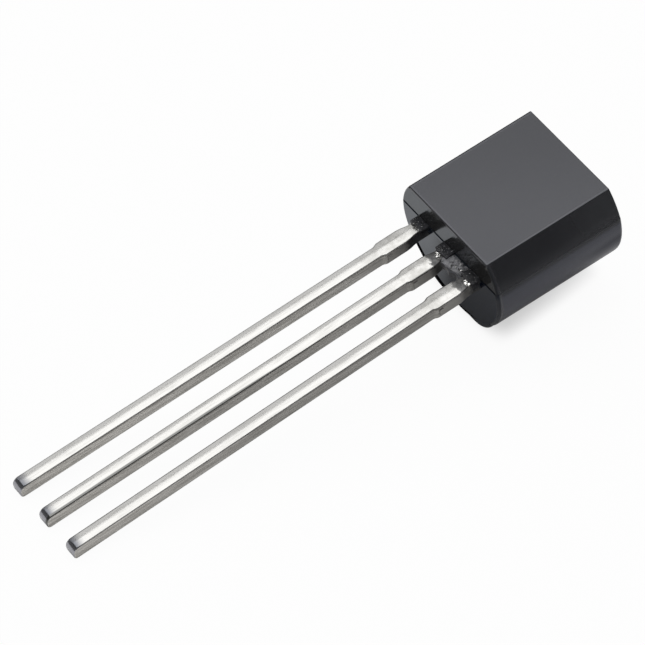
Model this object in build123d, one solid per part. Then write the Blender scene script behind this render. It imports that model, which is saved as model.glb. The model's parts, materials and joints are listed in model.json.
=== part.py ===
from build123d import *
from math import asin, atan, atan2, cos, degrees, hypot, radians, sin, tan
import os

# Sizes in millimetres and angles in degrees.
# The package frame has X along the leads towards the top of the case, with zero where they leave it,
# Y across the leads, and Z out of the flat front, with zero at half the lead frame's thickness.

# Moulded case
case_diameter = 4.75
case_depth = 3.78
case_height = 4.48
flat_to_lead_middle = 1.25
parting_rise = 0.04
front_draft = 1.4
back_draft = 1.0
mould_step = 0.02
front_edge_round = 0.035
back_edge_round = 0.10
pin_mark_diameter = 1.5
pin_mark_depth = 0.05

# Resin squeezed out of the mould over each lead, and flash left between two of them
collar_wall = 0.05
collar_reach = 0.27
flash_reach = 0.50
flash_thickness = 0.22
flash_span_shares = [0.0, 0.16, 0.34, 0.50, 0.68, 0.84, 1.0]
flash_reach_shares = [0.92, 1.0, 0.84, 0.96, 0.78, 0.86, 0.70]

# Leads outside the case
lead_pitch = 1.27
lead_length = 14.25
lead_width = 0.45
lead_thickness = 0.44
lead_edge_round = 0.05
tip_top_round = 0.22
tip_back_round = 0.11
shoulder_distance = 1.70
shoulder_flare = 0.06
shoulder_ease = 0.22
neck_distance = 0.85
neck_inset = 0.07
neck_ease = 0.55
bend_distance = 0.30
bend_length = 1.20
tip_drop = 0.53
tip_spread = 0.10
dam_stub_length = 0.14
dam_stub_reach = 0.02
dam_stub_height = 0.24

# Lead frame inside the case
frame_inset = 0.35
frame_gap = 0.20
frame_corner_cut = 0.10
post_width = 0.80
post_length = 1.75
paddle_length = 2.90

# Chip and its bond wires
die_side = 0.50
die_thickness = 0.20
bond_pad_inset = 0.12
wire_diameter = 0.05
wire_sides = 6
wire_rise = 0.22
wire_heel = 0.08
wire_bend = 0.06

# Overrun of every cutting and crossing shape
overrun = 0.5

# Planes and widths that several pieces share
front_z = flat_to_lead_middle
frame_face_z = lead_thickness / 2
parting_z = frame_face_z + parting_rise
back_z = front_z - case_depth
case_radius = case_diameter / 2
round_centre_z = back_z + case_radius
shoulder_width = lead_width + 2 * shoulder_flare
neck_width = shoulder_width - 2 * neck_inset
paddle_width = 2 * (lead_pitch - post_width / 2 - frame_gap)
drop_length = lead_length - bend_distance - bend_length / 2
drop_angle = atan(tip_drop / drop_length)
straight_length = (lead_length - bend_distance - bend_length) / cos(drop_angle)
spread_angle = atan(tip_spread / (lead_length - shoulder_distance))


# How far an end of the back half stands back at a given height
def back_setback(z):
    return (parting_z - z) * tan(radians(back_draft))


# The round section drawn along the leads between drafted ends, with its sharp edges rounded
def drafted_body(radius, low_z, high_z, low_setback, high_setback, edge_round):
    section = Plane.YZ.offset(-overrun) * Pos(0, round_centre_z) * Circle(radius)
    bar = extrude(section, case_height + 2 * overrun)
    side_view = Polyline(
        (low_setback, low_z),
        (case_height - low_setback, low_z),
        (case_height - high_setback, high_z),
        (high_setback, high_z),
        close=True,
    )
    body = bar & extrude(Plane.XZ * make_face(side_view), case_diameter, both=True)
    return fillet(body.faces().filter_by(GeomType.PLANE).edges(), edge_round)


# Front half, a little smaller than the back, so that the parting line is a fine ledge
def front_half():
    low_z = back_z - overrun
    low_setback = mould_step + (low_z - parting_z) * tan(radians(front_draft))
    high_setback = mould_step + (front_z - parting_z) * tan(radians(front_draft))
    radius = case_radius - mould_step
    body = drafted_body(radius, low_z, front_z, low_setback, high_setback, front_edge_round)
    return split(body, Plane.XY.offset(parting_z), keep=Keep.TOP)


# Back half, with the round mark left by the pin that pushes the case out of its mould
def back_half():
    low_z = back_z - overrun
    high_z = back_z + case_diameter + overrun
    low_setback = back_setback(low_z)
    high_setback = back_setback(high_z)
    body = drafted_body(case_radius, low_z, high_z, low_setback, high_setback, back_edge_round)
    half = split(body, Plane.XY.offset(parting_z), keep=Keep.BOTTOM)
    pin = Pos(case_height / 2, 0, back_z) * Cylinder(pin_mark_diameter / 2, 2 * overrun)
    core = extrude(Plane.YZ * Pos(0, round_centre_z) * Circle(case_radius - pin_mark_depth), case_height)
    return half - (pin - core)


# Thin square collar of resin over the upper half of a lead's root, in the given lane
def resin_collar(lane):
    height = lead_thickness / 2 + collar_wall
    section = Rectangle(neck_width + 2 * collar_wall, height)
    section = Plane.YZ.offset(-collar_reach) * Pos(lane * lead_pitch, height / 2) * section
    return extrude(section, collar_reach + overrun)


# Ragged tab of flash from the middle lead to the one on the -Y side
def resin_flash():
    points = [(overrun, 0)]
    for span_share, reach_share in zip(flash_span_shares, flash_reach_shares):
        points.append((-flash_reach * reach_share, -lead_pitch * span_share))
    points.append((overrun, -lead_pitch))
    tab = make_face(Polyline(points, close=True))
    top_z = frame_face_z - lead_edge_round
    return extrude(Plane.XY.offset(top_z) * tab, -flash_thickness)


# Two equal arcs that move a lead's edge sideways over a run, turning it by a last small angle
def eased_shift(before, turn, shift, run, last_turn):
    angle = 2 * atan(shift / run)
    radius = run / (2 * sin(angle))
    first = JernArc(before @ 1, before % 1, radius, turn * degrees(angle))
    second = JernArc(first @ 1, first % 1, radius, last_turn - turn * degrees(angle))
    return first, second


# One long edge of a lead's outline, from inside the case to the tip
def lead_edge(side, lean):
    half_neck = side * neck_width / 2
    neck = Line((frame_inset + lead_width, half_neck), (neck_ease - neck_distance, half_neck))
    swell = eased_shift(neck, -side, neck_inset, neck_ease, 0)
    shoulder_end = swell[-1] @ 1
    shoulder_run = shoulder_distance - shoulder_ease - neck_distance
    shoulder = Line(shoulder_end, shoulder_end + (swell[-1] % 1) * shoulder_run)
    step = eased_shift(shoulder, side, shoulder_flare, shoulder_ease, -lean * degrees(spread_angle))
    narrow_run = lead_length - shoulder_distance + overrun
    narrow = Line(step[-1] @ 1, step[-1] @ 1 + (step[-1] % 1) * narrow_run)
    return [neck, *swell, shoulder, *step, narrow]


# The strip of metal outside the case: its outline from the front, kept inside its bent side view
def outer_lead(lean):
    left = lead_edge(1, lean)
    right = lead_edge(-1, lean)
    root = Line(left[0] @ 0, right[0] @ 0)
    tip = Line(left[-1] @ 1, right[-1] @ 1)
    outline = make_face([*left, *right, root, tip])
    strip = extrude(outline, lead_thickness + tip_drop, both=True)
    flat_run = Line((frame_inset + lead_width, 0), (-bend_distance, 0))
    bend = JernArc(flat_run @ 1, flat_run % 1, bend_length / drop_angle, degrees(drop_angle))
    drop_run = Line(bend @ 1, bend @ 1 + (bend % 1) * straight_length)
    band = trace(flat_run + bend + drop_run, lead_thickness)
    band = fillet(band.vertices().sort_by(Axis.X)[1], tip_back_round)
    band = fillet(band.vertices().sort_by(Axis.X)[0], tip_top_round)
    strip = strip & extrude(Plane.XZ * band, lead_pitch, both=True)
    rims = strip.edges().filter_by(Axis.Z, reverse=True).filter_by(Axis.Y, reverse=True)
    return fillet(rims, lead_edge_round) + dam_stubs()


# Stubs of the sheared bar that held the leads together, one each side where the shoulder ends
def dam_stubs():
    stub_x = shoulder_ease - shoulder_distance + dam_stub_length / 2
    bend_middle_x = -bend_distance - bend_length / 2
    stub_z = (stub_x - bend_middle_x) * tan(drop_angle)
    width = shoulder_width + 2 * dam_stub_reach
    return Pos(stub_x, 0, stub_z) * Box(dam_stub_length, width, dam_stub_height)


# A lead with the flat post or paddle that holds it in the resin
def lead(lane, length, width):
    outline = Pos(frame_inset + length / 2) * Rectangle(length, width)
    outline = chamfer(outline.vertices(), frame_corner_cut)
    anchor = extrude(outline, lead_thickness / 2, both=True)
    return Pos(0, lane * lead_pitch, 0) * (outer_lead(lane) + anchor)


# Chip on the paddle
paddle_x = frame_inset + paddle_length / 2
die_top_z = frame_face_z + die_thickness


def silicon_die():
    return Pos(paddle_x, 0, frame_face_z) * extrude(Rectangle(die_side, die_side), die_thickness)


# Bond wire from a pad on the chip to the post of the lead in the given lane
def bond_wire(lane):
    pad_y = lane * (die_side / 2 - bond_pad_inset)
    post_x = frame_inset + post_length - post_width / 2
    post_y = lane * lead_pitch
    route = FilletPolyline(
        (paddle_x, pad_y, die_top_z),
        (paddle_x, pad_y, die_top_z + wire_rise),
        (post_x, post_y, frame_face_z + wire_heel),
        (post_x, post_y, frame_face_z),
        radius=wire_bend,
    )
    section = RegularPolygon(wire_diameter / 2, wire_sides)
    return sweep(Plane(route @ 0, z_dir=route % 0) * section, path=route)


# Tilt at which the lead tips and the back edge at the exit end touch a level surface together
def resting_tilt():
    below = lead_thickness / 2 - tip_back_round
    tip_x = tip_back_round * cos(drop_angle) + below * sin(drop_angle) - lead_length
    tip_z = tip_back_round * sin(drop_angle) - below * cos(drop_angle) - tip_drop
    heel_z = back_z + back_edge_round
    heel_x = back_setback(heel_z) + back_edge_round / cos(radians(back_draft))
    slope = atan2(heel_z - tip_z, heel_x - tip_x)
    between = hypot(heel_x - tip_x, heel_z - tip_z)
    return degrees(slope - asin((back_edge_round - tip_back_round) / between))


pieces = {
    "emitter_lead": lead(1, post_length, post_width),
    "collector_lead": lead(0, paddle_length, paddle_width),
    "base_lead": lead(-1, post_length, post_width),
    "silicon_die": silicon_die(),
    "emitter_bond_wire": bond_wire(1),
    "base_bond_wire": bond_wire(-1),
}
case = front_half() + back_half() + resin_flash()
for lane in (-1, 0, 1):
    case = case + resin_collar(lane)
for insert in pieces.values():
    case = case - insert
pieces["moulded_case"] = case

# Lay the package down on its lead tips and back edge, with the origin under its middle
pieces = {name: Rot(0, resting_tilt(), 0) * piece for name, piece in pieces.items()}
box = Compound(list(pieces.values())).bounding_box()
to_origin = Pos(-box.center().X, -box.center().Y, -box.min.Z)

os.makedirs("parts", exist_ok=True)
for name, piece in pieces.items():
    export_step(to_origin * piece, f"parts/{name}.step")
print(f"tilt {resting_tilt():.3f} degrees, size {box.size}")
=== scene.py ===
import json
import math
import random
import bpy
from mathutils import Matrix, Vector, noise


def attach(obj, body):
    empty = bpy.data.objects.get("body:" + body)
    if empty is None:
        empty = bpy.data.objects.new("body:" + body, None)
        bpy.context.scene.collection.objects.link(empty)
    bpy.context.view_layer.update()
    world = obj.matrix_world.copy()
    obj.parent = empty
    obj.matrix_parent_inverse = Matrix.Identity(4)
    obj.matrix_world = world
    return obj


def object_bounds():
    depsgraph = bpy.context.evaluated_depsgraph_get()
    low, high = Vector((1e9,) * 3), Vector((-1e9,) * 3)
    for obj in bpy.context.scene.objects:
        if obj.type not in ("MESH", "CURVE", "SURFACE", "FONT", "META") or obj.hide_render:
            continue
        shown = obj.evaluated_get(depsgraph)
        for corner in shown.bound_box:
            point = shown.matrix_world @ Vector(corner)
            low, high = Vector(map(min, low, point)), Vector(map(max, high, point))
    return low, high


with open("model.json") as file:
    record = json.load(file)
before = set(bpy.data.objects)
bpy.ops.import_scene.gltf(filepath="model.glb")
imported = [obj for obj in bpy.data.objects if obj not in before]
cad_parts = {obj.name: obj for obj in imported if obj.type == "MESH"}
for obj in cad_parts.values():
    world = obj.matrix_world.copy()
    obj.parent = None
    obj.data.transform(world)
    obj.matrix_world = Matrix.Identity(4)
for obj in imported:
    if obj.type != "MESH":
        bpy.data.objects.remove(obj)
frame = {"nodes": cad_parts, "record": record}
cadLow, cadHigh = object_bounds()
nodes = frame["nodes"]
mm = 0.001
print("frame loaded:", len(nodes), "nodes")

# the case, in millimetres; shapes and marks below are in millimetres on its own axes too
caseSize = {
    "height": 4.48,
    "radius": 2.375,
    "flatRise": 1.25,  # flat over the middle plane of the leads
    "roundCentre": -0.155,
    "partingRise": 0.26,
}

# its axes run along the leads, across them and out of the flat, from where the leads come out
flatFront = next(m for m in frame["record"]["mounts"] if m["name"] == "flat_front")
outOfFlat = Vector(flatFront["axis"]).normalized()
acrossLeads = Vector((0, 1, 0))
alongLeads = acrossLeads.cross(outOfFlat)
flatStart = Vector(flatFront["pos_m"]) - alongLeads * (caseSize["height"] * mm) / 2
caseOrigin = flatStart - outOfFlat * (caseSize["flatRise"] * mm)
restTilt = math.atan2(outOfFlat.x, outOfFlat.z)


def casePoint(along, across, out):
    point = caseOrigin + alongLeads * (along * mm) + acrossLeads * (across * mm)
    return point + outOfFlat * (out * mm)


def addMesh(name, verts, faces, material):
    mesh = bpy.data.meshes.new(name)
    mesh.from_pydata(verts, [], faces)
    mesh.materials.append(material)
    thing = bpy.data.objects.new(name, mesh)
    bpy.context.scene.collection.objects.link(thing)
    return thing


def addNode(tree, kind, **settings):
    node = tree.nodes.new(kind)
    for key, value in settings.items():
        if hasattr(node, key):
            setattr(node, key, value)
        else:
            node.inputs[key].default_value = value
    return node


def feed(tree, source, target):
    # numbers go straight on the socket, sockets are linked
    if isinstance(source, bpy.types.NodeSocket):
        tree.links.new(source, target)
    else:
        target.default_value = source


def sums(tree, operation, a, b=0.0, c=0.0, clamp=False):
    node = addNode(tree, "ShaderNodeMath", operation=operation, use_clamp=clamp)
    for value, socket in zip((a, b, c), node.inputs):
        feed(tree, value, socket)
    return node.outputs[0]


def times(tree, value, *others):
    for other in others:
        value = sums(tree, "MULTIPLY", value, other)
    return value


def minus(tree, a, b):
    return sums(tree, "SUBTRACT", a, b)


def ramp(tree, value, low, high, lowOut=0.0, highOut=1.0, shape="SMOOTHSTEP"):
    node = addNode(tree, "ShaderNodeMapRange", interpolation_type=shape)
    feed(tree, value, node.inputs["Value"])
    feed(tree, low, node.inputs["From Min"])
    feed(tree, high, node.inputs["From Max"])
    feed(tree, lowOut, node.inputs["To Min"])
    feed(tree, highOut, node.inputs["To Max"])
    return node.outputs["Result"]


def fall(tree, value, low, high):
    return ramp(tree, value, low, high, 1.0, 0.0)


def mixNumbers(tree, share, a, b):
    return ramp(tree, share, 0.0, 1.0, a, b)


def mixColours(tree, share, a, b):
    node = addNode(tree, "ShaderNodeMix", data_type="RGBA")
    feed(tree, share, node.inputs["Factor"])
    for value, name in ((a, "A"), (b, "B")):
        socket = [s for s in node.inputs if s.name == name and s.type == "RGBA"][0]
        feed(tree, value if isinstance(value, bpy.types.NodeSocket) else (*value, 1), socket)
    return [s for s in node.outputs if s.type == "RGBA"][0]


def grain(tree, where, scale, detail, roughness, stretch=None):
    vector = where
    if stretch:
        mapping = addNode(tree, "ShaderNodeMapping", Scale=stretch)
        tree.links.new(where, mapping.inputs["Vector"])
        vector = mapping.outputs[0]
    node = addNode(tree, "ShaderNodeTexNoise", Scale=scale, Detail=detail, Roughness=roughness)
    tree.links.new(vector, node.inputs["Vector"])
    return node.outputs["Fac"]


def bumps(tree, shader, height, depth, under=None):
    node = addNode(tree, "ShaderNodeBump", Strength=1.0, Distance=depth * mm)
    tree.links.new(height, node.inputs["Height"])
    if under:
        tree.links.new(under, node.inputs["Normal"])
    tree.links.new(node.outputs[0], shader.inputs["Normal"])
    return node.outputs[0]


def axes(tree, vector, letters="XYZ"):
    split = addNode(tree, "ShaderNodeSeparateXYZ")
    tree.links.new(vector, split.inputs[0])
    return [split.outputs[letter] for letter in letters]


def newMaterial(name):
    material = bpy.data.materials.new(name)
    material.use_nodes = True
    tree = material.node_tree
    place = addNode(tree, "ShaderNodeTexCoord").outputs["Object"]
    return material, tree, tree.nodes["Principled BSDF"], place


def partMaterial(name):
    material, tree, shader, place = newMaterial(name)
    # millimetres on the case's own axes, so the marks stay with the part
    turn = addNode(tree, "ShaderNodeMapping", vector_type="TEXTURE")
    turn.inputs["Location"].default_value = caseOrigin
    turn.inputs["Rotation"].default_value = (0, restTilt, 0)
    turn.inputs["Scale"].default_value = (mm, mm, mm)
    tree.links.new(place, turn.inputs["Vector"])
    return material, tree, shader, turn.outputs[0]


# black filled epoxy, satin as it left the mould
# pairs are the start and end of a change, grains are scale, detail and roughness
epoxy = {
    "dark": (0.0060, 0.0063, 0.0074),
    "pale": (0.0110, 0.0115, 0.0130),
    "cloudGrain": (0.9, 4, 0.6),
    "fineGrain": (22, 3, 0.6),
    "fineDepth": 0.00025,
    "fleck": (0.060, 0.061, 0.064),
    "fleckGrain": (38, 2, 0.5),
    "fleckFrom": (0.70, 0.78),
    "fleckShare": 0.6,
    "rough": (0.20, 0.27),
    "roughFrom": (0.3, 0.7),
    "roughShares": (0.6, 0.4),  # of the fine grain and of the cloud
    "index": 1.60,
    "gloss": 0.5,
    "tint": (0.905, 0.92, 1.0),
    # painted dimmer reflection
    "tintFarDimReflection": (0.724, 0.736, 0.80),  # at the far top corner of the flat
    "tintSlope": (0.11, 0.13, 0.25),  # along, across, at the origin
    "tintFrom": (0.15, 0.95),
    # collars and flash
    "squeezed": (0.055, 0.055, 0.058),
    "squeezedFrom": (-0.05, -0.03),
    "squeezedRough": 0.22,
    "tornGrain": (13, 4, 0.65),
    "tornFrom": (0.48, 0.70),
    "tornDepth": 0.012,
    # parting line
    "line": (0.002, 0.002, 0.002),
    "lineGrain": (2.6, 3, 0.7),
    "lineFrom": (0.50, 0.78),
    "lineWidth": (0.0112, 0.0336),
    "lineCore": 0.6,
    "lineAcross": (-1.9, -1.5),
    "lineRough": 0.6,
    # exit end
    "end": (0.0040, 0.0075, 0.0170),
    "endTint": (0.55, 0.76, 1.0),
    "endRough": -0.10,
    "endGloss": 0.42,
    "endAlong": (0.06, 0.12),
    "endTop": (1.13, 1.20),
    "endUpper": (0.024, 0.0235, 0.0235),
    "endUpperFrom": (0.25, 0.30),
    # haze on its near half and near corner
    "hazeGloss": 0.05,
    "hazeCloud": 0.4,
    "hazeAcross": (0.1, 1.5),
    "hazeTop": (0.10, 0.24),
    "hazeCorner": (-1.55, -1.25),
    # edges of the flat: painted highlight lines inside them, painted shade along the far edge
    "flatHalf": 1.89,
    "flatShift": 0.0125,
    "flatStart": 0.05,
    "edgeHighlight": (0.038, 0.039, 0.044),
    "edgeHighlightFrom": (0.010, 0.020),
    "edgeHighlightTo": (0.065, 0.080),
    "edgeHighlightRise": (1.235, 1.245),
    "farEdgeAcross": (1.858, 1.868),
    "farEdgeRise": (1.13, 1.16),
    # rounded rim of the exit end: painted light on the near side, painted shade along the far and
    # lower side
    "rim": (0.052, 0.053, 0.059),
    "rimInset": (0.14, 0.09),
    "rimAlong": (0.12, 0.20),
    "rimAcross": (-0.9, -0.4),
    "rimUpper": (0.0, 0.25),
    "rimUpperShare": 0.45,
    "darkRimInset": (0.22, 0.35),
    "darkRimWiden": (-0.2, 0.5),
    "darkRimEdge": (0.0, 0.05),
    "darkRimTop": (-1.3, -0.8),
    "darkRimAcross": (-1.0, -0.6),
    # near side of the round: painted light below the mould ledge and towards the top end, painted
    # highlight on the ledge
    "nearAcross": (-1.92, -1.88),
    "nearAlong": (0.12, 0.20),
    "nearLow": (0.0175, 0.0190, 0.0360),
    "nearLowTop": (0.05, 0.25),
    "nearTop": (0.030, 0.031, 0.033),
    "nearTopAlong": (2.0, 4.3),
    "nearTopRise": (0.25, 0.50),
    "nearTopGloss": 0.12,
    "nearTopDull": (-0.55, -0.05),
    "ledge": (0.10, 0.102, 0.108),
    "ledgeHalf": (0.012, 0.022),
    "underLedgeGloss": 0.34,
    "underLedgeFrom": (0.02, 0.20),
    "underLedgeTo": (0.255, 0.262),
}


def epoxyPlaces(tree, where, rimRadius):
    x, y, z = axes(tree, where)
    on = {}
    on["squeezed"] = fall(tree, x, *epoxy["squeezedFrom"])
    moulded = minus(tree, 1.0, on["squeezed"])
    # the two mould halves meet in a fine ragged line
    offLine = sums(tree, "ABSOLUTE", minus(tree, z, caseSize["partingRise"]))
    ragged = grain(tree, where, *epoxy["lineGrain"])
    ragged = ramp(tree, ragged, *epoxy["lineFrom"], *epoxy["lineWidth"])
    line = fall(tree, offLine, times(tree, ragged, epoxy["lineCore"]), ragged)
    on["line"] = times(tree, line, moulded, ramp(tree, y, *epoxy["lineAcross"]))
    # exit end, all of it and above the line
    end = times(tree, fall(tree, x, *epoxy["endAlong"]), moulded, fall(tree, z, *epoxy["endTop"]))
    on["end"] = end
    on["endUpper"] = times(tree, end, ramp(tree, z, *epoxy["endUpperFrom"]))
    # painted highlight lines just inside the edges of the flat, and painted shade along its far edge
    inFlat = sums(tree, "ABSOLUTE", sums(tree, "ADD", y, epoxy["flatShift"]))
    inFlat = minus(tree, epoxy["flatHalf"], inFlat)
    inFlat = sums(tree, "MINIMUM", inFlat, minus(tree, x, epoxy["flatStart"]))
    edgeHighlight = times(tree, ramp(tree, inFlat, *epoxy["edgeHighlightFrom"]), ramp(tree, z, *epoxy["edgeHighlightRise"]))
    on["edgeHighlight"] = times(tree, edgeHighlight, fall(tree, inFlat, *epoxy["edgeHighlightTo"]))
    farEdge = ramp(tree, y, *epoxy["farEdgeAcross"])
    on["farEdge"] = times(tree, farEdge, ramp(tree, z, *epoxy["farEdgeRise"]))
    # the rounded rim of the exit end, painted paler on the near side as light from the floor
    fromCentre = sums(tree, "POWER", minus(tree, z, caseSize["roundCentre"]), 2.0)
    fromCentre = sums(tree, "SQRT", sums(tree, "MULTIPLY_ADD", y, y, fromCentre))
    rim = ramp(tree, fromCentre, *(rimRadius - inset for inset in epoxy["rimInset"]))
    rim = times(tree, rim, fall(tree, x, *epoxy["rimAlong"]), fall(tree, y, *epoxy["rimAcross"]))
    on["rim"] = times(tree, rim, ramp(tree, z, *epoxy["rimUpper"], 1.0, epoxy["rimUpperShare"]))
    # and matt and dark along the far and lower side: painted shade
    darkStart = [caseSize["radius"] - inset for inset in epoxy["darkRimInset"]]
    darkRim = minus(tree, fromCentre, ramp(tree, y, *epoxy["darkRimWiden"], *darkStart))
    darkRim = ramp(tree, darkRim, *epoxy["darkRimEdge"])
    darkRim = times(tree, darkRim, fall(tree, z, *epoxy["darkRimTop"]))
    on["darkRim"] = times(tree, darkRim, ramp(tree, y, *epoxy["darkRimAcross"]), end)
    # near side of the round: painted light below the mould ledge and towards the top end, and a
    # painted highlight on the ledge itself
    near = times(tree, fall(tree, y, *epoxy["nearAcross"]), ramp(tree, x, *epoxy["nearAlong"]))
    towardsTop = times(tree, near, ramp(tree, x, *epoxy["nearTopAlong"]))
    on["nearLow"] = times(tree, near, fall(tree, z, *epoxy["nearLowTop"]))
    on["nearTop"] = times(tree, towardsTop, ramp(tree, z, *epoxy["nearTopRise"]))
    on["nearDull"] = times(tree, towardsTop, fall(tree, z, *epoxy["nearTopDull"]))
    underLedge = times(tree, near, ramp(tree, z, *epoxy["underLedgeFrom"]))
    on["underLedge"] = times(tree, underLedge, fall(tree, z, *epoxy["underLedgeTo"]))
    on["ledge"] = times(tree, near, fall(tree, offLine, *epoxy["ledgeHalf"]))
    return on


def epoxyMaterial(name, rimRadius):
    material, tree, shader, where = partMaterial(name)
    x, y, z = axes(tree, where)
    on = epoxyPlaces(tree, where, rimRadius)
    cloud = grain(tree, where, *epoxy["cloudGrain"])
    fine = grain(tree, where, *epoxy["fineGrain"])
    torn = grain(tree, where, *epoxy["tornGrain"])
    flecks = ramp(tree, grain(tree, where, *epoxy["fleckGrain"]), *epoxy["fleckFrom"])
    # one tone over the other, the painted highlights, light and shade among them
    colour = mixColours(tree, cloud, epoxy["dark"], epoxy["pale"])
    for share, tone in (
        (times(tree, flecks, epoxy["fleckShare"]), "fleck"),
        (times(tree, on["squeezed"], ramp(tree, torn, *epoxy["tornFrom"])), "squeezed"),
        (on["line"], "line"),
        (times(tree, on["end"], minus(tree, 1.0, on["line"])), "end"),
        (on["endUpper"], "endUpper"),
        (on["edgeHighlight"], "edgeHighlight"),
        (on["farEdge"], "dark"),
        (on["rim"], "rim"),
        (on["darkRim"], "dark"),
        (on["nearLow"], "nearLow"),
        (on["nearTop"], "nearTop"),
        (on["ledge"], "ledge"),
    ):
        colour = mixColours(tree, share, colour, epoxy[tone])
    tree.links.new(colour, shader.inputs["Base Color"])
    fineShare, cloudShare = epoxy["roughShares"]
    rough = sums(tree, "ADD", times(tree, fine, fineShare), times(tree, cloud, cloudShare))
    rough = ramp(tree, rough, *epoxy["roughFrom"], *epoxy["rough"])
    for spot in ("end", "line", "squeezed"):
        rough = sums(tree, "ADD", rough, times(tree, on[spot], epoxy[spot + "Rough"]), clamp=True)
    tree.links.new(rough, shader.inputs["Roughness"])
    shader.inputs["IOR"].default_value = epoxy["index"]
    # the reflection on the flat is painted a little dimmer towards its far top corner
    alongSlope, acrossSlope, start = epoxy["tintSlope"]
    fade = sums(tree, "MULTIPLY_ADD", y, acrossSlope, start)
    fade = sums(tree, "MULTIPLY_ADD", x, alongSlope, fade)
    tint = mixColours(tree, ramp(tree, fade, *epoxy["tintFrom"]), epoxy["tint"], epoxy["tintFarDimReflection"])
    tint = mixColours(tree, on["end"], tint, epoxy["endTint"])
    tree.links.new(tint, shader.inputs["Specular Tint"])
    # resin haze on the near half of the exit end, below the parting line, and over its near corner
    haze = sums(tree, "MULTIPLY_ADD", cloud, epoxy["hazeCloud"], y)
    haze = times(tree, on["end"], fall(tree, haze, *epoxy["hazeAcross"]))
    haze = times(tree, haze, fall(tree, z, *epoxy["hazeTop"]))
    corner = times(tree, on["end"], fall(tree, y, *epoxy["hazeCorner"]))
    gloss = mixNumbers(tree, on["end"], epoxy["gloss"], epoxy["endGloss"])
    for share, level in (
        (sums(tree, "MAXIMUM", haze, corner), epoxy["hazeGloss"]),
        (sums(tree, "MAXIMUM", on["darkRim"], on["farEdge"]), 0.0),
        (on["nearDull"], epoxy["nearTopGloss"]),
        (on["underLedge"], epoxy["underLedgeGloss"]),
        (on["ledge"], 0.0),
    ):
        gloss = mixNumbers(tree, share, gloss, level)
    tree.links.new(gloss, shader.inputs["Specular IOR Level"])
    smooth = bumps(tree, shader, fine, epoxy["fineDepth"])
    bumps(tree, shader, times(tree, torn, on["squeezed"]), epoxy["tornDepth"], smooth)
    return material


# tinned lead strip: crowned drawn top, sheared sides, resin on the roots, nosed tips
tin = {
    "pitch": 1.27,
    "spread": 0.10,
    "spreadFrom": -1.7,
    "tipEnd": -14.25,
    "halfWidth": 0.225,
    "grainShift": (7.3, 3.1, 5.7),  # moves the marks from one lead to the next
    "streakGrain": (9, 4, 0.65),
    "streakStretch": (0.10, 1.6, 1.6),
    "streakDepth": 0.0004,
    "drawnGrain": (16, 2, 0.5),
    "drawnStretch": (0.03, 1.0, 1.0),
    "mottleGrain": (3.2, 5, 0.65),
    "mottleDepth": 0.2,  # share of the streaks' depth
    "rough": (0.20, 0.36),  # top, sides
    "roughStreak": 0.25,
    "crownRadius": 1.1,
    # top
    "top": (0.47, 0.465, 0.452),
    "topDull": (0.355, 0.35, 0.335),
    "dullRoot": (-3.2, -1.3),
    "dullMottle": (0.36, 0.62),
    "dullStreak": (0.48, 0.75, 0.0, 0.75),
    "dullDrawn": (0.50, 0.74, 0.0, 0.6),
    "farEdge": (0.95, 0.95, 0.94),
    "farEdgeFrom": (0.22, 0.50),
    "farEdgeTo": (0.75, 0.92),
    # painted shade on the near edge of a rolled lead
    "rolledEdgeShade": (0.15, 0.15, 0.145),
    "rolledAlong": (-9.0, -3.0),
    "rolledSoft": (-0.02, 0.02),
    # nosed tip: painted shade darkens its top, its end is paler
    "noseTop": (0.135, 0.14, 0.155),
    "noseEnd": (0.40, 0.40, 0.43),
    "noseFrom": (-14.00, -13.65),
    "noseMottle": 0.2,
    "noseFacing": (-0.75, -0.35),
    # sides
    "side": (0.72, 0.70, 0.665),
    "sideDark": (0.44, 0.425, 0.395),
    "sideFacing": (0.62, 0.90),
    "sideStreak": (0.35, 0.70),
    "sideDrawn": (0.50, 0.72, 0.0, 0.6),
    # painted shade towards the case, and the root's darker, warmer tone
    "sideFadeAlong": (-14.5, -6.0),
    "sideRootAlong": (-1.9, -0.7),
    "sideRootTint": (1.0, 0.97, 0.92),
    "stubSide": (0.262, 0.282),
    "stubTop": (0.288, 0.292),
    # film of resin on the root
    "resin": (0.026, 0.026, 0.028),
    "creepGrain": (5.5, 4, 0.6),
    "creepWander": 0.45,
    "creepEdge": (0.0, 0.10),
    "patchGrain": (11, 4, 0.7),
    "patchFrom": 0.30,
    "patchSpan": 0.45,
    "patchFilm": 0.8,
    # what differs from lead to lead
    "leads": {
        "emitter_lead": {
            "lane": 1, "seed": 1, "crownShift": -0.08, "rolled": 0.0, "sideFade": 0.84,
            "sideRoot": 0.42, "topReach": 0.33, "sideReach": 0.80, "film": 1.0,
        },
        "collector_lead": {
            "lane": 0, "seed": 2, "crownShift": -0.03, "rolled": 0.10, "sideFade": 0.70,
            "sideRoot": 0.30, "topReach": 0.74, "sideReach": 0.46, "film": 0.95,
        },
        "base_lead": {
            "lane": -1, "seed": 3, "crownShift": -0.10, "rolled": 0.0, "sideFade": 0.58,
            "sideRoot": 0.30, "topReach": 0.74, "sideReach": 0.42, "film": 0.75,
        },
    },
}


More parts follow.
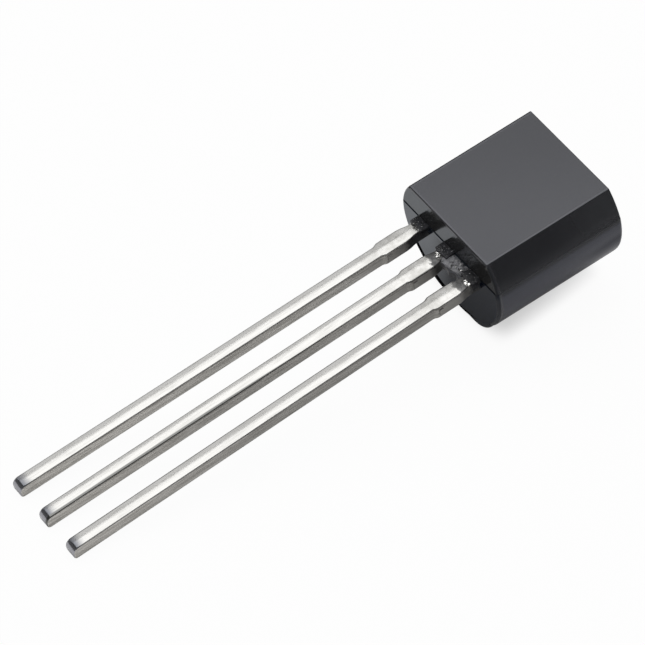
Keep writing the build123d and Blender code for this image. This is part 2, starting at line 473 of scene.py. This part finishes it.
def tinMaterial(name, lead):
    material, tree, shader, where = partMaterial(name)
    x, y = axes(tree, where, "XY")
    facing = addNode(tree, "ShaderNodeNewGeometry").outputs["Normal"]
    facingX, facingY = axes(tree, facing, "XY")
    shift = addNode(tree, "ShaderNodeVectorMath", operation="ADD")
    tree.links.new(where, shift.inputs[0])
    shift.inputs[1].default_value = [lead["seed"] * step for step in tin["grainShift"]]
    own = shift.outputs[0]
    streaks = grain(tree, own, *tin["streakGrain"], tin["streakStretch"])
    drawn = grain(tree, own, *tin["drawnGrain"], tin["drawnStretch"])
    mottle = grain(tree, own, *tin["mottleGrain"])
    # distance from the strip's own middle line, which spreads towards the tip
    rootY, tipY = lead["lane"] * tin["pitch"], lead["lane"] * (tin["pitch"] + tin["spread"])
    middle = ramp(tree, x, tin["spreadFrom"], tin["tipEnd"], rootY, tipY, "LINEAR")
    offMiddle = minus(tree, y, middle)
    aside = sums(tree, "ABSOLUTE", offMiddle)
    # drawn top, duller in streaks and near the root
    dull = times(tree, ramp(tree, mottle, *tin["dullMottle"]), ramp(tree, x, *tin["dullRoot"]))
    dull = sums(tree, "MAXIMUM", dull, ramp(tree, streaks, *tin["dullStreak"]))
    dull = sums(tree, "MAXIMUM", dull, ramp(tree, drawn, *tin["dullDrawn"]))
    top = mixColours(tree, dull, tin["top"], tin["topDull"])
    nose = fall(tree, sums(tree, "MULTIPLY_ADD", mottle, tin["noseMottle"], x), *tin["noseFrom"])
    noseTone = fall(tree, facingX, *tin["noseFacing"])
    noseTone = mixColours(tree, noseTone, tin["noseTop"], tin["noseEnd"])
    top = mixColours(tree, nose, top, noseTone)
    # the far edge catches the light
    farEdge = times(tree, ramp(tree, facingY, *tin["farEdgeFrom"]), minus(tree, 1.0, nose))
    farEdge = times(tree, farEdge, fall(tree, facingY, *tin["farEdgeTo"]))
    top = mixColours(tree, farEdge, top, tin["farEdge"])
    # painted shade: the near edge of the top is dark where the roll turns it from the light
    if lead["rolled"] > 0:  # rolled a little towards its tip, so the near edge is dark
        edge = -tin["halfWidth"]
        edge = ramp(tree, x, *tin["rolledAlong"], edge + lead["rolled"], edge)
        rolled = fall(tree, minus(tree, offMiddle, edge), *tin["rolledSoft"])
        top = mixColours(tree, rolled, top, tin["rolledEdgeShade"])
    # the sheared side is painted darker towards the case as shade, and darker and warmer near the root
    side = mixColours(tree, ramp(tree, streaks, *tin["sideStreak"]), tin["side"], tin["sideDark"])
    side = mixColours(tree, ramp(tree, drawn, *tin["sideDrawn"]), side, tin["sideDark"])
    shaded = addNode(tree, "ShaderNodeVectorMath", operation="SCALE")
    tree.links.new(side, shaded.inputs[0])
    shade = ramp(tree, x, *tin["sideFadeAlong"], 1.0, lead["sideFade"])
    tree.links.new(shade, shaded.inputs["Scale"])
    rootTone = [lead["sideRoot"] * part for part in tin["sideRootTint"]]
    side = mixColours(tree, ramp(tree, x, *tin["sideRootAlong"]), shaded.outputs[0], rootTone)
    # the stubs of the cut bar count as side, with resin left on top
    sideways = sums(tree, "ABSOLUTE", facingY)
    onSide = ramp(tree, sideways, *tin["sideFacing"])
    onSide = sums(tree, "MAXIMUM", onSide, ramp(tree, aside, *tin["stubSide"]))
    stubTop = ramp(tree, aside, *tin["stubTop"])
    stubTop = times(tree, stubTop, fall(tree, sideways, *tin["sideFacing"]))
    colour = mixColours(tree, stubTop, mixColours(tree, onSide, top, side), tin["resin"])
    # thin resin that crept out over the root
    creep = times(tree, minus(tree, grain(tree, own, *tin["creepGrain"]), 0.5), tin["creepWander"])
    reach = mixNumbers(tree, onSide, lead["topReach"], lead["sideReach"])
    resin = sums(tree, "ADD", sums(tree, "ADD", x, creep), reach)
    patchTo = tin["patchFrom"] + tin["patchSpan"] * lead["film"]
    patches = grain(tree, own, *tin["patchGrain"])
    patches = ramp(tree, patches, tin["patchFrom"], patchTo, 1.0, lead["film"] * tin["patchFilm"])
    resin = times(tree, ramp(tree, resin, *tin["creepEdge"]), patches)
    colour = mixColours(tree, resin, colour, tin["resin"])
    tree.links.new(colour, shader.inputs["Base Color"])
    tree.links.new(minus(tree, 1.0, resin), shader.inputs["Metallic"])
    uneven = times(tree, minus(tree, streaks, 0.5), tin["roughStreak"])
    rough = sums(tree, "ADD", mixNumbers(tree, onSide, *tin["rough"]), uneven)
    tree.links.new(rough, shader.inputs["Roughness"])
    # the strip is a little crowned across its top
    fromCrown = minus(tree, offMiddle, lead["crownShift"])
    crown = times(tree, fromCrown, fromCrown, -0.5 / tin["crownRadius"])
    crowned = bumps(tree, shader, crown, 1.0)
    marks = sums(tree, "ADD", streaks, times(tree, mottle, tin["mottleDepth"]))
    bumps(tree, shader, marks, tin["streakDepth"], crowned)
    return material


# polished silicon with a thin film, inside the case
silicon = {
    "bare": (0.24, 0.25, 0.29),
    "film": (0.33, 0.31, 0.36),
    "filmGrain": (6, 3, 0.5),
    "rough": (0.16, 0.26),
    "roughGrain": (30, 2, 0.5),
    "roughFrom": (0.3, 0.7),
    "metal": 0.6,
}


def siliconMaterial():
    material, tree, shader, where = partMaterial("dieSilicon")
    patches = grain(tree, where, *silicon["filmGrain"])
    colour = mixColours(tree, patches, silicon["bare"], silicon["film"])
    tree.links.new(colour, shader.inputs["Base Color"])
    uneven = grain(tree, where, *silicon["roughGrain"])
    rough = ramp(tree, uneven, *silicon["roughFrom"], *silicon["rough"])
    tree.links.new(rough, shader.inputs["Roughness"])
    shader.inputs["Metallic"].default_value = silicon["metal"]
    return material


# bright drawn bond wire
wire = {
    "bright": (0.86, 0.66, 0.28),
    "dull": (0.72, 0.53, 0.20),
    "drawnGrain": (24, 3, 0.6),
    "drawnStretch": (0.2, 1, 1),
    "rough": (0.22, 0.37),
    "roughFrom": (0.3, 0.7),
}


def wireMaterial():
    material, tree, shader, where = partMaterial("bondWire")
    drawn = grain(tree, where, *wire["drawnGrain"], wire["drawnStretch"])
    colour = mixColours(tree, drawn, wire["bright"], wire["dull"])
    tree.links.new(colour, shader.inputs["Base Color"])
    rough = ramp(tree, drawn, *wire["roughFrom"], *wire["rough"])
    tree.links.new(rough, shader.inputs["Roughness"])
    shader.inputs["Metallic"].default_value = 1.0
    return material


def dress(node, material):
    node.data.materials.clear()
    node.data.materials.append(material)


dress(nodes["moulded_case"], epoxyMaterial("caseEpoxy", caseSize["radius"]))
for leadName, lead in tin["leads"].items():
    dress(nodes[leadName], tinMaterial("leadTin_" + leadName, lead))
dress(nodes["silicon_die"], siliconMaterial())
wireFinish = wireMaterial()
for wireName in ("emitter_bond_wire", "base_bond_wire"):
    dress(nodes[wireName], wireFinish)
print("materials on", len(nodes), "nodes")

# low corners of the back, which stand out a little from the round
backCorner = {
    "sides": ((-1, 0.137), (1, 0.085)),  # which side, how far out
    "middle": 28.0,  # degrees from the middle of the back
    "spans": (14.0, 20.0),  # degrees from there, inwards and outwards
    "crest": 1.4,
    "draft": 1.0,  # degrees
    "edgeRound": 0.10,
    "edgeSteps": 6,
    "sunk": 0.13,  # underside, below the round
    "proud": 0.003,  # ends out of the case's ends, borders into the round
    "columns": 28,
}


def makeBackCorners(material):
    verts, faces, soft = [], [], []
    columns, steps, edge = backCorner["columns"], backCorner["edgeSteps"], backCorner["edgeRound"]
    slope = math.tan(math.radians(backCorner["draft"]))
    # the rounded edge of an end: in from the end, down from the crest
    turns = [k * math.pi / 2 / steps for k in range(steps + 1)]
    bend = [(edge - edge * math.cos(turn), edge * math.sin(turn) - edge) for turn in turns]
    loop = 2 * len(bend) + 2
    for side, peak in backCorner["sides"]:
        first = len(verts)
        for i in range(columns + 1):
            u = 2 * i / columns - 1
            angle = math.radians(backCorner["middle"] + backCorner["spans"][u > 0] * u)
            rise = peak * (1 - u * u) ** backCorner["crest"] - backCorner["proud"]
            exitEnd = [(0.0, -backCorner["sunk"])]
            exitEnd += [(inward, rise + down) for inward, down in bend]
            for atTop, stations in ((False, exitEnd), (True, exitEnd[::-1])):
                for inward, out in stations:
                    reach = caseSize["radius"] + out
                    z = caseSize["roundCentre"] - reach * math.cos(angle)
                    along = (caseSize["partingRise"] - z) * slope - backCorner["proud"] + inward
                    if atTop:
                        along = caseSize["height"] - along
                    verts.append(casePoint(along, side * reach * math.sin(angle), z))
        for i in range(columns):
            low, high = first + i * loop, first + (i + 1) * loop
            for j in range(loop):
                k = (j + 1) % loop
                quad = (low + j, low + k, high + k, high + j)
                faces.append(quad if side < 0 else quad[::-1])
                soft.append(0 < j < loop - 2)
        for i, turned in ((0, side < 0), (columns, side > 0)):
            cap = tuple(range(first + i * loop, first + (i + 1) * loop))
            faces.append(cap[::-1] if turned else cap)
            soft.append(False)
    piece = addMesh("back_corners", verts, faces, material)
    piece.data.polygons.foreach_set("use_smooth", soft)
    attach(piece, "root")


nearPeak = backCorner["sides"][0][1]
makeBackCorners(epoxyMaterial("backEpoxy", caseSize["radius"] + nearPeak))
print("corners on the back")

# torn resin over the plain collars and flash at the roots
crust = {
    "flash": {
        "across": (-0.15, -1.02), "reach": (0.50, 0.36), "top": 0.18, "bottom": -0.06,
        "lift": 0.13, "columns": 56, "rows": 34,
    },
    "farCollar": {
        "across": (1.52, 1.00), "reach": (0.29, 0.27), "top": 0.272, "bottom": 0.14,
        "lift": 0.014, "columns": 34, "rows": 20,
    },
    "middleCollar": {
        "across": (0.27, -0.27), "reach": (0.31, 0.30), "top": 0.272, "bottom": 0.14,
        "lift": 0.022, "columns": 36, "rows": 22,
    },
    "nearCollar": {
        "across": (-1.00, -1.54), "reach": (0.31, 0.28), "top": 0.272, "bottom": 0.14,
        "lift": 0.022, "columns": 36, "rows": 22,
    },
    # shape
    "inside": 0.02,  # how far the patch starts inside the case
    "ragged": 0.06,
    "raggedScale": 5,
    "raggedRow": 3.7,
    "lumpScale": 5.0,
    "lumpFractal": (0.9, 2.1, 4),  # falloff, lacunarity, octaves
    "lumpShare": 0.45,
    "plainLift": 0.35,
    "crestStart": 0.15,
    "crestPower": 0.6,
    "lipFrom": 0.82,
    "lipDrop": 0.5,
    "skirtIn": 0.94,
    # finish
    "flashFinish": {
        "pale": (0.30, 0.30, 0.32), "paleFrom": 0.34, "speckFrom": 0.66, "gloss": 0.5,
    },
    "collarFinish": {
        "pale": (0.036, 0.037, 0.043), "paleFrom": 0.42, "speckFrom": 0.665, "gloss": 0.18,
    },
    "dark": (0.016, 0.016, 0.018),
    "paleSpan": 0.16,
    # painted light on top of the broken faces, painted shade towards the near lead
    "paleRise": (0.08, 0.19),
    "paleAcross": (-0.98, -0.72, 0.3, 1.0),
    "speck": (0.75, 0.75, 0.76),
    "speckSpan": 0.05,
    "rough": (0.36, 0.18),
    "roughFrom": (0.50, 0.70),
    "tornGrain": (7, 4, 0.6),
    "crystalGrain": (34, 2, 0.5),
    "crystalDepth": 0.5,  # share of the torn grain's depth
    "grainDepth": 0.006,
}


def crustMaterial(name, finish):
    material, tree, shader, where = partMaterial(name)
    y, z = axes(tree, where, "YZ")
    torn = grain(tree, where, *crust["tornGrain"])
    crystals = grain(tree, where, *crust["crystalGrain"])
    # broken faces are pale, painted paler on top as light and darker below and towards the near lead
    # as shade
    broken = ramp(tree, torn, finish["paleFrom"], finish["paleFrom"] + crust["paleSpan"])
    broken = times(tree, broken, ramp(tree, z, *crust["paleRise"]))
    broken = times(tree, broken, ramp(tree, y, *crust["paleAcross"]))
    colour = mixColours(tree, broken, crust["dark"], finish["pale"])
    specks = ramp(tree, crystals, finish["speckFrom"], finish["speckFrom"] + crust["speckSpan"])
    colour = mixColours(tree, specks, colour, crust["speck"])
    tree.links.new(colour, shader.inputs["Base Color"])
    rough = ramp(tree, crystals, *crust["roughFrom"], *crust["rough"])
    tree.links.new(rough, shader.inputs["Roughness"])
    shader.inputs["IOR"].default_value = epoxy["index"]
    shader.inputs["Specular IOR Level"].default_value = finish["gloss"]
    marks = sums(tree, "MULTIPLY_ADD", crystals, crust["crystalDepth"], torn)
    bumps(tree, shader, marks, crust["grainDepth"])
    return material


def between(ends, share):
    return ends[0] + (ends[1] - ends[0]) * share


def crustHeight(patch, along, across, v):
    spot = Vector((along, across, 0.0))
    lump = noise.fractal(spot * crust["lumpScale"], *crust["lumpFractal"]) * crust["lumpShare"]
    arch = min(1.0, between((crust["crestStart"], 1.0), v))
    crest = math.sin(math.pi * arch) ** crust["crestPower"]
    lip = max(0.0, (v - crust["lipFrom"]) / (1.0 - crust["lipFrom"])) ** 2
    out = patch["top"] + patch["lift"] * (crust["plainLift"] + lump) * crest
    return out - crust["lipDrop"] * patch["lift"] * lip


def makeCrust(name, patch, material):
    spots, verts, faces = [], [], []
    columns, rows = patch["columns"], patch["rows"]
    wide = rows + 1
    for i in range(columns + 1):
        across = between(patch["across"], i / columns)
        edge = noise.noise(Vector((across * crust["raggedScale"], crust["raggedRow"], 0.0)))
        reach = between(patch["reach"], i / columns) + crust["ragged"] * edge
        for j in range(wide):
            along = crust["inside"] - (reach + crust["inside"]) * j / rows
            spots.append((along, across))
            verts.append(casePoint(along, across, crustHeight(patch, along, across, j / rows)))
    for i in range(columns):
        for j in range(rows):
            k = i * wide + j
            faces.append((k, k + 1, k + wide + 1, k + wide))
    # skirt round the patch, down into the solid
    ring = list(range(rows)) + [i * wide + rows for i in range(columns + 1)]
    ring += [columns * wide + j for j in range(rows - 1, -1, -1)]
    first = len(verts)
    for k in ring:
        along, across = spots[k]
        along = along * crust["skirtIn"] if along < 0 else along
        verts.append(casePoint(along, across, patch["bottom"]))
    for k in range(len(ring) - 1):
        faces.append((ring[k], first + k, first + k + 1, ring[k + 1]))
    # closed below and inside the case
    last = len(verts) - 1
    faces.append(tuple(range(last, first - 1, -1)))
    faces.append(tuple(i * wide for i in range(columns + 1)) + (last, first))
    piece = addMesh(name, verts, faces, material)
    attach(piece, "root")


# bright crumbs of tin torn up where the resin was knocked off the roots
crumbs = {
    "seed": 11,
    "spots": (  # middle, reach along and across, count, size
        ((-0.40, -0.02, 0.222), (0.06, 0.16), 14, 0.032),
        ((-0.37, -1.36, 0.222), (0.05, 0.11), 15, 0.044),
        ((-0.30, 1.20, 0.258), (0.05, 0.17), 7, 0.018),
        ((-0.20, -0.78, 0.235), (0.12, 0.14), 14, 0.016),
    ),
    "long": (0.6, 1.5),
    "short": (0.2, 0.6),
    "rise": (0.010, 0.045),
    "tip": 0.22,
    "corners": 5,
    "cornerTurn": 0.35,
    "foot": (-0.03, 1.15),  # depth and growth of the underside
    "colour": (0.86, 0.855, 0.83),
    "shineGrain": (40, 2, 0.5),
    "dullFrom": (0.4, 0.7),
    "rough": (0.16, 0.28),
    "roughFrom": (0.3, 0.7),
}


def crumbMaterial():
    material, tree, shader, where = partMaterial("tinCrumb")
    shine = grain(tree, where, *crumbs["shineGrain"])
    dull = ramp(tree, shine, *crumbs["dullFrom"])
    colour = mixColours(tree, dull, crumbs["colour"], tin["topDull"])
    tree.links.new(colour, shader.inputs["Base Color"])
    rough = ramp(tree, shine, *crumbs["roughFrom"], *crumbs["rough"])
    tree.links.new(rough, shader.inputs["Roughness"])
    shader.inputs["Metallic"].default_value = 1.0
    return material


def makeCrumbs():
    dice = random.Random(crumbs["seed"])
    verts, faces = [], []
    corners, tip, cornerTurn = crumbs["corners"], crumbs["tip"], crumbs["cornerTurn"]
    for middle, reach, count, size in crumbs["spots"]:
        for crumb in range(count):
            along = middle[0] + dice.uniform(-1, 1) * reach[0]
            across = middle[1] + dice.uniform(-1, 1) * reach[1]
            turn = dice.uniform(0, math.pi)
            long = size * dice.uniform(*crumbs["long"])
            short = long * dice.uniform(*crumbs["short"])
            rise = dice.uniform(*crumbs["rise"])
            tipX, tipY = dice.uniform(-tip, tip), dice.uniform(-tip, tip)
            first = len(verts)
            for k in range(corners):
                angle = turn + k * math.tau / corners + dice.uniform(-cornerTurn, cornerTurn)
                x, y = math.cos(angle) * long, math.sin(angle) * short
                for level, grow in (crumbs["foot"], (rise + x * tipX + y * tipY, 1.0)):
                    verts.append(casePoint(along + x * grow, across + y * grow, middle[2] + level))
            low = [first + 2 * k for k in range(corners)]
            for k in range(corners):
                here, after = low[k], low[(k + 1) % corners]
                faces.append((here, after, after + 1, here + 1))
            faces.append(tuple(k + 1 for k in low))
            faces.append(tuple(low[::-1]))
    piece = addMesh("tin_crumbs", verts, faces, crumbMaterial())
    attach(piece, "root")


makeCrust("torn_flash", crust["flash"], crustMaterial("tornFlash", crust["flashFinish"]))
collarResin = crustMaterial("tornCollar", crust["collarFinish"])
for collarName in ("farCollar", "middleCollar", "nearCollar"):
    makeCrust("crust_" + collarName, crust[collarName], collarResin)
makeCrumbs()
print("flash and crumbs on the roots")

# pale floor, white to the camera but still carrying the shadow
floor = {
    "half": 3.0,  # metres
    "colour": (0.95, 0.95, 0.95, 1),
    "rough": 0.9,
    "cameraWhite": 0.96,
    "mirrorWhite": 0.10,
    "closeWhite": 0.55,  # close to the part, where the floor's own shadow shows
    "closeReach": 0.8,
    "closeFrom": (0.25, 0.90),
    "closeSamples": 16,
    "shadowAlong": (-0.2, 1.4),  # the close shadow comes in past the exit end
}


def floorMaterial():
    material, tree, shader, place = newMaterial("floorWhite")
    shader.inputs["Base Color"].default_value = floor["colour"]
    shader.inputs["Roughness"].default_value = floor["rough"]
    shader.inputs["Specular IOR Level"].default_value = 0.0
    openness = addNode(tree, "ShaderNodeAmbientOcclusion", samples=floor["closeSamples"])
    openness.inputs["Distance"].default_value = floor["closeReach"] * mm
    whites = floor["closeWhite"], floor["cameraWhite"]
    white = ramp(tree, openness.outputs["AO"], *floor["closeFrom"], *whites)
    along = axes(tree, place, "X")[0]
    beside = ramp(tree, along, *(caseOrigin.x + end * mm for end in floor["shadowAlong"]))
    white = mixNumbers(tree, beside, floor["cameraWhite"], white)
    rays = addNode(tree, "ShaderNodeLightPath").outputs
    mirrored = sums(tree, "MAXIMUM", rays["Is Glossy Ray"], rays["Is Transmission Ray"])
    mirrored = times(tree, mirrored, floor["mirrorWhite"])
    share = sums(tree, "MULTIPLY_ADD", rays["Is Camera Ray"], white, mirrored)
    glow = addNode(tree, "ShaderNodeEmission", Strength=1.0)
    blend = addNode(tree, "ShaderNodeMixShader")
    tree.links.new(share, blend.inputs["Fac"])
    tree.links.new(shader.outputs[0], blend.inputs[1])
    tree.links.new(glow.outputs[0], blend.inputs[2])
    tree.links.new(blend.outputs[0], tree.nodes["Material Output"].inputs["Surface"])
    return material


def makeFloor():
    half = floor["half"]
    corners = [(-half, -half, 0), (half, -half, 0), (half, half, 0), (-half, half, 0)]
    thing = addMesh("floor", corners, [(0, 1, 2, 3)], floorMaterial())


# one big soft box above, a dimmer panel low behind, a grey card on the camera's side
studio = {
    "worldGrey": (0.15, 0.15, 0.15, 1),
    "lampDistance": 0.36,  # metres, as the lamps' sizes are
    "lampAzimuth": 71.6,
    "boxElevation": 72.0,
    "boxSize": (0.42, 0.38),
    "boxRadiance": 2.0,
    "panelElevation": 31.0,
    "panelSize": (0.50, 0.14),
    "panelRadiance": 1.0,
    "cardGap": 3.7 * mm,
    "cardHeight": 60 * mm,
    "cardLength": 160 * mm,
    "cardLean": 0.3,
    "cardGrey": (0.35, 0.35, 0.36),
    "cardFoot": (0.95, 0.95, 0.95),
    "cardBlend": 2.0 * mm,
}


def makeLamp(name, elevation, size, radiance):
    lamp = bpy.data.lights.new(name, "AREA")
    lamp.shape = "RECTANGLE"
    lamp.size, lamp.size_y = size
    lamp.energy = radiance * math.pi * size[0] * size[1]
    thing = bpy.data.objects.new(name, lamp)
    around, up = math.radians(studio["lampAzimuth"]), math.radians(elevation)
    way = Vector((math.cos(around) * math.cos(up), math.sin(around) * math.cos(up), math.sin(up)))
    thing.location = (cadLow + cadHigh) / 2 + way * studio["lampDistance"]
    thing.rotation_euler = way.to_track_quat("Z", "Y").to_euler()
    thing.visible_camera = False
    bpy.context.scene.collection.objects.link(thing)


def makeCard():
    material, tree, shader, place = newMaterial("greyCard")
    upwards = ramp(tree, axes(tree, place, "Z")[0], 0.0, studio["cardBlend"])
    tone = mixColours(tree, upwards, studio["cardFoot"], studio["cardGrey"])
    tree.links.new(tone, shader.inputs["Base Color"])
    shader.inputs["Roughness"].default_value = 1.0
    half, high = studio["cardLength"] / 2, studio["cardHeight"]
    foot = cadLow.y - studio["cardGap"]
    head = foot - high * studio["cardLean"]
    corners = [(-half, foot, 0), (half, foot, 0), (half, head, high), (-half, head, high)]
    card = addMesh("greyCard", corners, [(0, 1, 2, 3)], material)
    # it shows only in the gloss of the part
    card.visible_camera = False
    card.visible_shadow = False
    card.visible_diffuse = False


def makeStudio():
    world = bpy.data.worlds.new("studioGrey")
    bpy.context.scene.world = world
    world.use_nodes = True
    back = world.node_tree.nodes["Background"]
    back.inputs["Color"].default_value = studio["worldGrey"]
    back.inputs["Strength"].default_value = 1.0
    makeLamp("softBox", studio["boxElevation"], studio["boxSize"], studio["boxRadiance"])
    makeLamp("backPanel", studio["panelElevation"], studio["panelSize"], studio["panelRadiance"])
    makeCard()


# camera fitted to the photograph's edges, in millimetres on the case's axes
camera = {
    "eye": (-48.4231, -83.935, 122.0297),
    "aim": (-4.3845, 0.131, 0.2499),
    "lens": 301.52,
    "sensor": 36,
    "clip": (0.001, 20),
}


def makeCamera():
    data = bpy.data.cameras.new("camera")
    data.sensor_width = camera["sensor"]
    data.lens = camera["lens"]
    data.clip_start, data.clip_end = camera["clip"]
    eye = bpy.data.objects.new("camera", data)
    eye.location = casePoint(*camera["eye"])
    look = casePoint(*camera["aim"]) - eye.location
    eye.rotation_euler = look.to_track_quat("-Z", "Y").to_euler()
    bpy.context.scene.collection.objects.link(eye)
    bpy.context.scene.camera = eye


makeFloor()
makeStudio()
makeCamera()
bpy.context.scene.view_settings.view_transform = "Standard"
print("floor, light and camera set")
